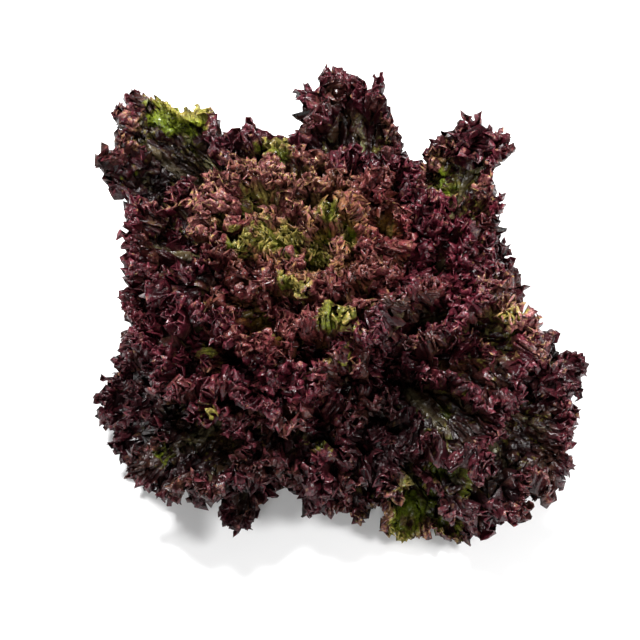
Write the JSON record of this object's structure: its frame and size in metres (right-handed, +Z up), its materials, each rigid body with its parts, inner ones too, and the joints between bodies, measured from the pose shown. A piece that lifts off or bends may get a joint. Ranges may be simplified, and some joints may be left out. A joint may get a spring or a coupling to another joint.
{
  "type": "lollo rosso lettuce",
  "caption": "Open, loose-leaf head of red frilled lettuce, cut at the stem and resting on the cut, with overlapping fan-shaped leaves round a green heart.",
  "frame": {"origin": "middle of the stem's flat cut face, on the surface that the head rests on", "axes": "+Z up along the stem, -Z out of the cut face; +Y towards the taller back of the head, -Y towards the viewer of the picture, +X to the picture's right"},
  "size_m": [0.2632, 0.2394, 0.1304],
  "materials": {
    "cut_stem": "matte",
    "outer_leaf_blade": "satin",
    "middle_leaf_blade": "satin",
    "inner_leaf_blade": "satin",
    "heart_leaf_blade": "satin"
  },
  "bodies": {
    "root": {"stem": "cut_stem", "outer_leaf_01": "outer_leaf_blade", "outer_leaf_02": "outer_leaf_blade", "outer_leaf_03": "outer_leaf_blade", "outer_leaf_04": "outer_leaf_blade", "outer_leaf_05": "outer_leaf_blade", "outer_leaf_06": "outer_leaf_blade", "outer_leaf_07": "outer_leaf_blade", "outer_leaf_08": "outer_leaf_blade", "outer_leaf_09": "outer_leaf_blade", "outer_leaf_10": "outer_leaf_blade", "outer_leaf_11": "outer_leaf_blade", "outer_leaf_12": "outer_leaf_blade", "outer_leaf_13": "outer_leaf_blade", "outer_leaf_14": "outer_leaf_blade", "outer_leaf_15": "outer_leaf_blade", "outer_leaf_16": "outer_leaf_blade", "middle_leaf_01": "middle_leaf_blade", "middle_leaf_02": "middle_leaf_blade", "middle_leaf_03": "middle_leaf_blade", "middle_leaf_04": "middle_leaf_blade", "middle_leaf_05": "middle_leaf_blade", "middle_leaf_06": "middle_leaf_blade", "middle_leaf_07": "middle_leaf_blade", "middle_leaf_08": "middle_leaf_blade", "middle_leaf_09": "middle_leaf_blade", "middle_leaf_10": "middle_leaf_blade", "middle_leaf_11": "middle_leaf_blade", "middle_leaf_12": "middle_leaf_blade", "middle_leaf_13": "middle_leaf_blade", "middle_leaf_14": "middle_leaf_blade", "middle_leaf_15": "middle_leaf_blade", "middle_leaf_16": "middle_leaf_blade", "middle_leaf_17": "middle_leaf_blade", "inner_leaf_01": "inner_leaf_blade", "inner_leaf_02": "inner_leaf_blade", "inner_leaf_03": "inner_leaf_blade", "inner_leaf_04": "inner_leaf_blade", "inner_leaf_05": "inner_leaf_blade", "inner_leaf_06": "inner_leaf_blade", "inner_leaf_07": "inner_leaf_blade", "inner_leaf_08": "inner_leaf_blade", "inner_leaf_09": "inner_leaf_blade", "inner_leaf_10": "inner_leaf_blade", "heart_leaf_01": "heart_leaf_blade", "heart_leaf_02": "heart_leaf_blade", "heart_leaf_03": "heart_leaf_blade", "heart_leaf_04": "heart_leaf_blade", "heart_leaf_05": "heart_leaf_blade", "heart_leaf_06": "heart_leaf_blade", "heart_leaf_07": "heart_leaf_blade"}
  },
  "joints": []
}
